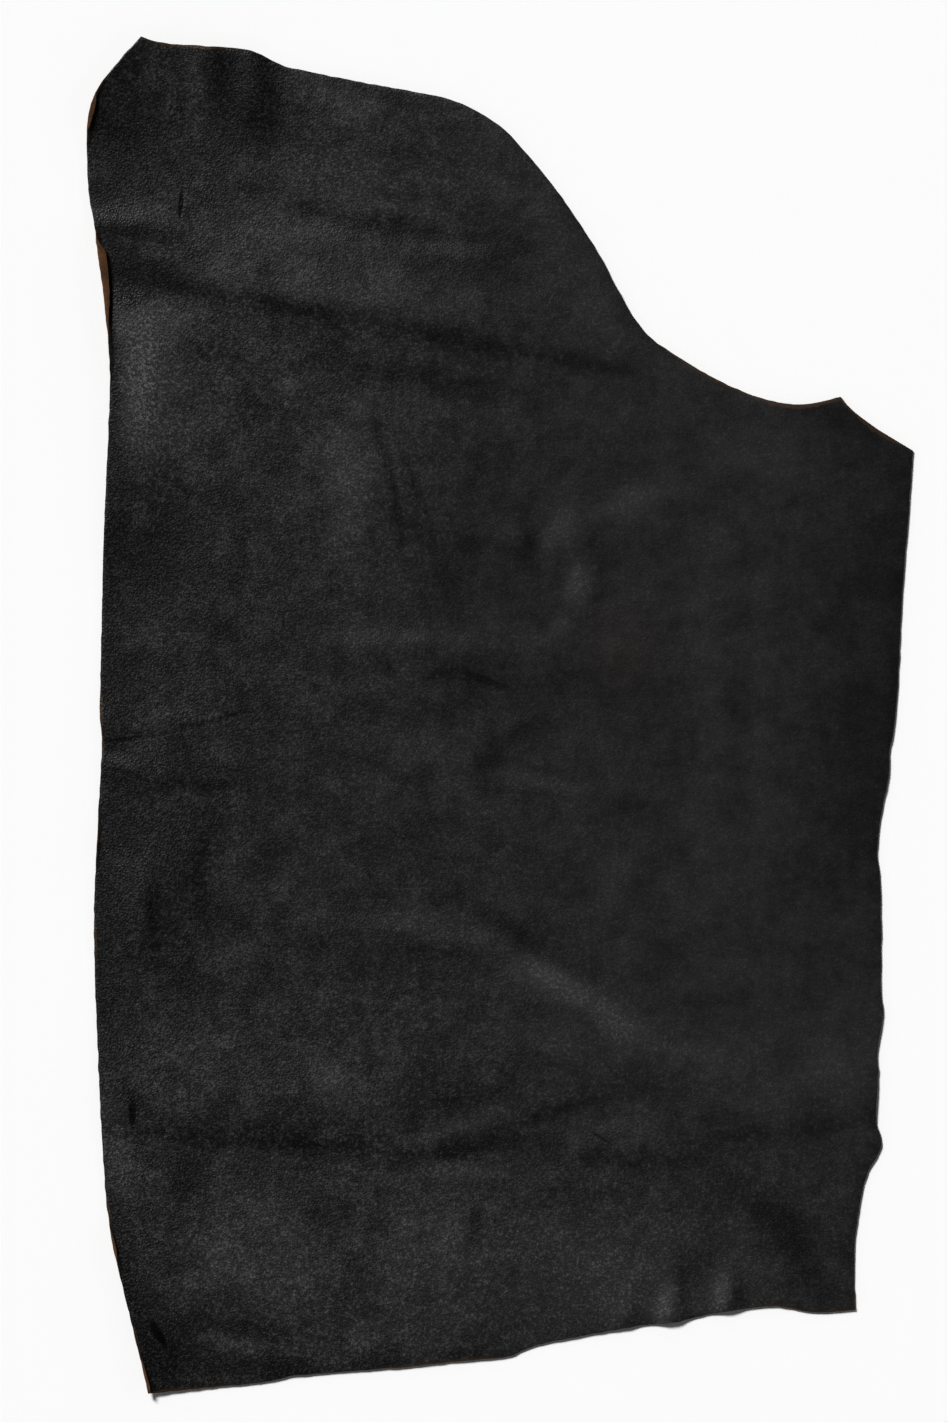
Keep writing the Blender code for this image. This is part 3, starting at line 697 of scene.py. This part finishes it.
def pressedAt(bench, place, mark):  # the mark's depth along its middle, 0 beside it and past its ends
    run = Vector((mark.x1 - mark.x0, mark.y1 - mark.y0, 0.0)) * mm
    across = Vector((-run.y, run.x, 0.0)).normalized() / (mark.wide * mm)
    offset = bench.add("ShaderNodeVectorMath", {"operation": "SUBTRACT"},
                       {0: place, 1: (mark.x0 * mm, mark.y0 * mm, 0.0)})
    share = bench.add("ShaderNodeVectorMath", {"operation": "DOT_PRODUCT"},
                      {0: offset, 1: run / run.length_squared}, "Value")
    aside = bench.add("ShaderNodeVectorMath", {"operation": "DOT_PRODUCT"}, {0: offset, 1: across}, "Value")
    depth = bench.ramp(4.0 * share * (1.0 - share) - aside * aside, 0.0, leather["markSoft"])
    return depth * mark.depth


def dyeColour(bench, wearAndLight, rubbedAndLit, speckle, mottle):  # from deep dye to scuffed, with painted highlights and painted shade from the wear-and-light mask, painted glints as flecks, and a stain
    dye = bench.tint(rubbedAndLit, leather["darkDye"], leather["paleDye"])
    scuffAndHighlight = bench.ramp(wearAndLight + leather["scuffSpeckle"] * (speckle - 0.5), *leather["scuffed"])
    dye = bench.tint(scuffAndHighlight, dye, leather["scuffAndHighlightDye"])
    # painted glints: pale flecks stand in for the sheen on the pebbles, stronger toward the left and where
    # highlights are painted
    paintedGlints = bench.ramp(speckle + leather["fleckMottle"] * (mottle - 0.5), *leather["flecked"])
    paintedGlints = paintedGlints * bench.own("grainAndGlint") * (leather["fleckUnworn"] + rubbedAndLit)
    dye = bench.tint(paintedGlints, dye, bench.tint(scuffAndHighlight, leather["paintedGlint"], leather["brightPaintedGlint"]))
    return bench.tint(bench.own("stain") * mottle, dye, leather["redStain"])


def withCut(bench, place, dye):  # the frayed line of bare leather along the cut edge
    frayed = bench.cloud(place, leather["frayed"])
    bare = bench.own("bare")
    reach = (leather["cutWidth"] + leather["cutWidest"] * bare) * (frayed - leather["cutUneven"]) * mm
    line = 1.0 - bench.ramp(bench.own("fromRim") - reach, 0.0, leather["cutSoft"] * mm)
    browned = bench.ramp(bare + bench.cloud(place, leather["browning"]), *leather["browned"])
    return bench.tint(line, dye, bench.tint(browned, leather["cutDark"], leather["cutBrown"]))


def grainFinish():
    material, bench, shader, place = newFinish("dyedGrain")
    warp = bench.cloud(place, leather["warp"], "Color")
    warped = bench.add("ShaderNodeVectorMath", {"operation": "MULTIPLY_ADD"},
                       {0: warp, 1: (leather["warpReach"] * mm,) * 3, 2: place})
    pebbles = 1.0 - bench.ramp(bench.cells(warped, leather["pebble"]), *leather["pebbleEdge"])
    fine = bench.cloud(place, leather["fine"])
    speckle = bench.cloud(place, leather["speckle"])
    upright = bench.add("ShaderNodeMapping", {}, {0: place, 3: (1.0, leather["stretch"], 1.0)})
    across = bench.add("ShaderNodeMapping", {}, {0: place, 3: (leather["stretch"], 1.0, 1.0)})
    mottle = 0.5 * (bench.cloud(upright, leather["mottle"]) + bench.cloud(across, leather["mottle"]))
    coarse = bench.own("grainAndGlint")
    depth = leather["mottleFine"] + (1.0 - leather["mottleFine"]) * coarse
    # wear-and-light mask: rubbed and mottled dye, plus the painted highlights and painted shade of the
    # patches
    wearAndLight = bench.own("wearAndLight") + (mottle - 0.5) * leather["mottleDepth"] * depth
    rubbedAndLit = bench.ramp(wearAndLight, 0.0, 1.0)
    pressedAndShaded = sum(pressedAt(bench, warped, mark) for mark in marks)
    # painted shade: the marks' slits and creases are tinted near black
    dye = bench.tint(pressedAndShaded, dyeColour(bench, wearAndLight, rubbedAndLit, speckle, mottle), leather["pressedAndShaded"])
    polished = 1.0 - bench.ramp(wearAndLight, *leather["polished"])
    roughness = leather["smooth"] + (leather["rubbedAndLit"] - leather["smooth"]) * rubbedAndLit
    roughness = roughness + leather["fineRough"] * (fine - 0.5)
    roughness = roughness - leather["polish"] * (polished + leather["markPolish"] * pressedAndShaded)
    height = pebbles * leather["pebbleRelief"] + fine * leather["fineRelief"]
    height = height * (leather["leastRelief"] + (1.0 - leather["leastRelief"]) * coarse)
    height = height - leather["markRelief"] * pressedAndShaded
    normal = bench.add("ShaderNodeBump", {}, {"Distance": leather["relief"] * mm, "Height": height})
    feed(bench, shader, {"Base Color": withCut(bench, place, dye), "Roughness": roughness, "Normal": normal},
         {"Metallic": 0.0, "IOR": 1.5, "Specular IOR Level": leather["gloss"]})
    return material


flesh = {
    "nap": Cloud(1.4, 4.0, 0.7),          # the fibres' clumps
    "cloudy": Cloud(18.0, 3.0, 0.6),
    "napShare": 0.5,                      # how much the clumps break up the clouds
    "paleFrom": (0.3, 0.75),              # cloud from which the colour lightens, and where it is full
    "relief": 0.5,                        # mm
    "reliefStrength": 0.8,
    "roughness": 0.92,
    "gloss": 0.2,
    "sheen": 0.05,
    "sheenRoughness": 0.5,
    "pale": (0.078, 0.029, 0.007, 1.0),
    "dark": (0.022, 0.008, 0.002, 1.0),
    "cutPale": (0.022, 0.010, 0.004, 1.0),
    "cutDark": (0.008, 0.004, 0.002, 1.0),
}


def fleshFinish(name, dark, pale):
    material, bench, shader, place = newFinish(name)
    nap = bench.cloud(place, flesh["nap"])
    cloudy = bench.cloud(place, flesh["cloudy"])
    share = bench.ramp(cloudy + flesh["napShare"] * (nap - 0.5), *flesh["paleFrom"])
    colour = bench.tint(share, dark, pale)
    normal = bench.add("ShaderNodeBump", {}, {"Strength": flesh["reliefStrength"],
                                              "Distance": flesh["relief"] * mm, "Height": nap})
    feed(bench, shader, {"Base Color": colour, "Normal": normal},
         {"Roughness": flesh["roughness"], "Metallic": 0.0, "Specular IOR Level": flesh["gloss"],
          "Sheen Weight": flesh["sheen"], "Sheen Roughness": flesh["sheenRoughness"]})
    return material


def carry(mesh, name, values):  # give each point of a mesh its own value
    layer = mesh.attributes.new(name, "FLOAT", "POINT")
    layer.data.foreach_set("value", np.ravel(values).astype(np.float32))


def netThrough(places):  # a mesh with a point at each place, and each point's seat in the grid
    rows, columns = places.shape[0] - 1, places.shape[1] - 1
    net = bmesh.new()
    bmesh.ops.create_grid(net, x_segments=columns, y_segments=rows, size=1.0)
    net.verts.ensure_lookup_table()
    seats = [(round((v.co.y + 1.0) * 0.5 * rows), round((v.co.x + 1.0) * 0.5 * columns)) for v in net.verts]
    for vertex, seat in zip(net.verts, seats):
        vertex.co = places[seat] * mm
    mesh = bpy.data.meshes.new("leatherSheet")
    net.to_mesh(mesh)
    net.free()
    return mesh, tuple(np.array(seats).T)


def markWearAndLight(mesh, order, x, y, fromRim):  # what the grain side's finish reads from the mesh, painted light and shade among it
    side = np.tanh((x - leather["coarseMiddle"]) / leather["coarseReach"])
    grainAndGlint = leather["coarseMean"] - leather["coarseSwing"] * side + painted(grainSpots, x, y)
    # painted highlights and painted shade from the patches, on top of the even wear
    wearAndLight = painted(patches, x, y) + leather["evenWear"] - leather["grainWear"] * grainAndGlint
    carry(mesh, "wearAndLight", wearAndLight[order])
    carry(mesh, "grainAndGlint", grainAndGlint[order])
    carry(mesh, "stain", painted((stain,), x, y)[order])
    carry(mesh, "bare", painted(bareEdges, x, y)[order])
    carry(mesh, "fromRim", fromRim[order] * mm)


def thicken(piece, shares):  # by each point's share of the full thickness
    full = piece.vertex_groups.new(name="full")
    for index, share in enumerate(shares):
        full.add([index], float(share), "REPLACE")
    body = piece.modifiers.new("thickness", "SOLIDIFY")
    body.thickness = hide["thickness"] * mm
    body.offset = 1.0
    body.use_even_offset = True
    body.vertex_group = full.name
    body.thickness_vertex_group = hide["rimThickness"]
    body.material_offset = hide["fleshSlot"]
    body.material_offset_rim = hide["cutSlot"]


def makeHide(places, fromRim):
    mesh, order = netThrough(places)
    markWearAndLight(mesh, order, places[..., 0], places[..., 1], fromRim)
    mesh.materials.append(grainFinish())
    mesh.materials.append(fleshFinish("fleshSide", flesh["dark"], flesh["pale"]))
    mesh.materials.append(fleshFinish("cutEdge", flesh["cutDark"], flesh["cutPale"]))
    piece = bpy.data.objects.new("leatherSheet", mesh)
    bpy.context.scene.collection.objects.link(piece)
    thicken(piece, eased(fromRim[order] / hide["rimTaper"]))
    return plainMesh(piece)


def plainMesh(piece):  # apply the modifiers
    evaluated = piece.evaluated_get(bpy.context.evaluated_depsgraph_get())
    mesh = bpy.data.meshes.new_from_object(evaluated)
    piece.modifiers.clear()
    piece.data = mesh
    mesh.name = piece.name
    mesh.shade_smooth()
    mesh.set_sharp_from_angle(angle=radians(hide["cutAngle"]))
    return piece


places, fromRim = sheetPlaces()
leatherSheet = makeHide(places, fromRim)
triangles = sum(len(face.vertices) - 2 for face in leatherSheet.data.polygons)
print("hide made:", triangles, "triangles")

fibres = {  # loose ends of fibre along the cut edge
    "perMetre": 420.0,
    "length": (0.4, 2.2),                 # mm
    "width": 0.14,
    "sides": 3,
    "lean": 0.9,                          # how far they bend away from straight out
    "bend": ((-1.0, -1.0, -0.5), (1.0, 1.0, 0.9)),   # at random between these two ways
    "clump": 30.0,                        # mm, bare and hairy stretches alternate
    "hairy": (0.35, 0.65),                # noise from which a stretch is hairy, and where it is full
    "seed": 5,
    "colour": (0.045, 0.024, 0.010, 1.0),
    "tone": Cloud(4.0, 2.0, 0.6),
    "roughness": 0.9,
}


def fibreFinish():
    material, bench, shader, place = newFinish("looseFibre")
    colour = bench.tint(bench.cloud(place, fibres["tone"]), flesh["cutDark"], fibres["colour"])
    feed(bench, shader, {"Base Color": colour}, {"Roughness": fibres["roughness"]})
    return material


def fibreTree():
    tree = bpy.data.node_groups.new("edgeFibres", "GeometryNodeTree")
    tree.interface.new_socket("Edge", in_out="INPUT", socket_type="NodeSocketGeometry")
    for name in ("Density", "Shortest", "Longest", "Width", "Lean", "Clump"):
        tree.interface.new_socket(name, in_out="INPUT", socket_type="NodeSocketFloat")
    tree.interface.new_socket("Seed", in_out="INPUT", socket_type="NodeSocketInt")
    tree.interface.new_socket("Finish", in_out="INPUT", socket_type="NodeSocketMaterial")
    tree.interface.new_socket("Fibres", in_out="OUTPUT", socket_type="NodeSocketGeometry")
    bench = Bench(tree)
    entry = tree.nodes.new("NodeGroupInput")
    given = {socket.name: Wire(bench, socket) for socket in entry.outputs}
    place = bench.add("GeometryNodeInputPosition")
    patchy = bench.add("ShaderNodeTexNoise", {}, {"Vector": place, "Scale": 1.0 / given["Clump"]})
    density = given["Density"] * bench.ramp(patchy, *fibres["hairy"])
    roots = bench.add("GeometryNodeDistributePointsOnFaces", {},
                      {"Mesh": given["Edge"], "Density": density, "Seed": given["Seed"]}, "Points")
    outward = Wire(bench, roots.socket.node.outputs["Normal"])
    wild = bench.add("FunctionNodeRandomValue", {"data_type": "FLOAT_VECTOR"},
                     {0: fibres["bend"][0], 1: fibres["bend"][1], "Seed": given["Seed"]})
    bent = bench.add("ShaderNodeVectorMath", {"operation": "SCALE"}, {0: wild, "Scale": given["Lean"]})
    aim = bench.add("ShaderNodeVectorMath", {"operation": "ADD"}, {0: outward, 1: bent})
    turn = bench.add("FunctionNodeAlignRotationToVector", {"axis": "Z"}, {"Vector": aim})
    long = bench.add("FunctionNodeRandomValue", {"data_type": "FLOAT"},
                     {2: given["Shortest"], 3: given["Longest"], "Seed": given["Seed"] + 1}, 1)
    size = bench.add("ShaderNodeCombineXYZ", {}, {0: given["Width"], 1: given["Width"], 2: long})
    cone = bench.add("GeometryNodeMeshCone", {},
                     {"Vertices": fibres["sides"], "Radius Bottom": 0.5, "Depth": 1.0}, "Mesh")
    grown = bench.add("GeometryNodeInstanceOnPoints", {},
                      {"Points": roots, "Instance": cone, "Rotation": turn, "Scale": size})
    real = bench.add("GeometryNodeRealizeInstances", {}, {0: grown})
    finished = bench.add("GeometryNodeSetMaterial", {}, {"Geometry": real, "Material": given["Finish"]})
    leave = tree.nodes.new("NodeGroupOutput")
    tree.links.new(finished.socket, leave.inputs[0])
    return tree


def setInputs(modifier, values):  # by each socket's own key
    for item in modifier.node_group.interface.items_tree:
        if item.in_out == "INPUT" and item.name in values:
            modifier[item.identifier] = values[item.name]


def makeFibres(sheet):  # they grow from the faces of the cut edge
    edge = bmesh.new()
    edge.from_mesh(sheet.data)
    inner = [face for face in edge.faces if face.material_index != hide["cutSlot"]]
    bmesh.ops.delete(edge, geom=inner, context="FACES")
    area = sum(face.calc_area() for face in edge.faces)
    length = area / (hide["thickness"] * hide["rimThickness"] * mm)
    mesh = bpy.data.meshes.new("edgeFibres")
    edge.to_mesh(mesh)
    edge.free()
    piece = bpy.data.objects.new("edgeFibres", mesh)
    bpy.context.scene.collection.objects.link(piece)
    growth = piece.modifiers.new("growth", "NODES")
    growth.node_group = fibreTree()
    shortest, longest = fibres["length"]
    setInputs(growth, {"Density": fibres["perMetre"] * length / area, "Shortest": shortest * mm,
                       "Longest": longest * mm, "Width": fibres["width"] * mm, "Lean": fibres["lean"],
                       "Clump": fibres["clump"] * mm, "Seed": fibres["seed"], "Finish": fibreFinish()})
    return plainMesh(piece)


edgeFibres = makeFibres(leatherSheet)
print("edge fibres grown:", len(edgeFibres.data.polygons), "faces")

studio = {
    "frameMiddle": (-0.025, 0.0035),   # where the picture's middle falls on the hide
    "frameHeight": 1.422,              # how much of the floor the picture takes in
    "cameraHeight": 12.0,
    "sensor": 36.0,
    "keyTurn": 125.0,                  # degrees round from +X
    "keyRise": 40.0,                   # degrees above the floor
    "keyWidth": 17.0,                  # degrees of sky that the soft light fills
    "keyPower": 4.55,
    "zenith": 0.03,
    "horizon": 0.70,
    "skyRise": (0.05, 0.6),            # height on the sky where it starts to darken, and where it ends
    "floorColour": (0.93, 0.93, 0.93, 1.0),
    "floorSize": 30.0,
    "floorDrop": 0.3,                  # mm under the hide
    "floorRoughness": 0.7,
    "floorTone": 0.1,                  # how much more of it in some places
    "floorClouds": Cloud(600.0, 2.0, 0.5),
}


def makeCamera():  # straight above
    camera = bpy.data.objects.new("camera", bpy.data.cameras.new("camera"))
    camera.data.sensor_width = studio["sensor"]
    camera.data.lens = studio["sensor"] * studio["cameraHeight"] / studio["frameHeight"]
    camera.location = (*studio["frameMiddle"], studio["cameraHeight"])
    bpy.context.scene.collection.objects.link(camera)
    bpy.context.scene.camera = camera


def makeLight():
    turn, rise = radians(studio["keyTurn"]), radians(studio["keyRise"])
    towards = Vector((cos(turn) * cos(rise), sin(turn) * cos(rise), sin(rise)))
    key = bpy.data.objects.new("key", bpy.data.lights.new("key", "SUN"))
    key.data.angle = radians(studio["keyWidth"])
    key.data.energy = studio["keyPower"]
    key.location = towards
    key.rotation_euler = towards.to_track_quat("Z", "Y").to_euler()
    bpy.context.scene.collection.objects.link(key)


def makeWorld():  # a pale horizon under a dark ceiling
    world = bpy.data.worlds.new("studio")
    world.use_nodes = True
    bpy.context.scene.world = world
    bench = Bench(world.node_tree)
    direction = bench.add("ShaderNodeTexCoord", {}, {}, "Generated")
    height = bench.add("ShaderNodeSeparateXYZ", {}, {0: direction}, "Z")
    low = 1.0 - bench.ramp(height, *studio["skyRise"])
    glow = studio["zenith"] + (studio["horizon"] - studio["zenith"]) * low
    feed(bench, world.node_tree.nodes["Background"], {"Strength": glow}, {"Color": (1.0, 1.0, 1.0, 1.0)})


def makeFloor():  # pale and dull, just under the hide
    drop = studio["floorDrop"] * mm
    bpy.ops.mesh.primitive_plane_add(size=studio["floorSize"], location=(0.0, 0.0, -drop))
    floor = bpy.context.object
    floor.name = "floor"
    material, bench, shader, place = newFinish("paleFloor")
    tone = bench.cloud(place, studio["floorClouds"])
    feed(bench, shader, {"Roughness": studio["floorRoughness"] + studio["floorTone"] * tone},
         {"Base Color": studio["floorColour"]})
    floor.data.materials.append(material)


makeCamera()
makeLight()
makeWorld()
makeFloor()
bpy.context.scene.view_settings.view_transform = "Standard"
print("studio ready")

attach(leatherSheet, "root")
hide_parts("hide")
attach(edgeFibres, "root")
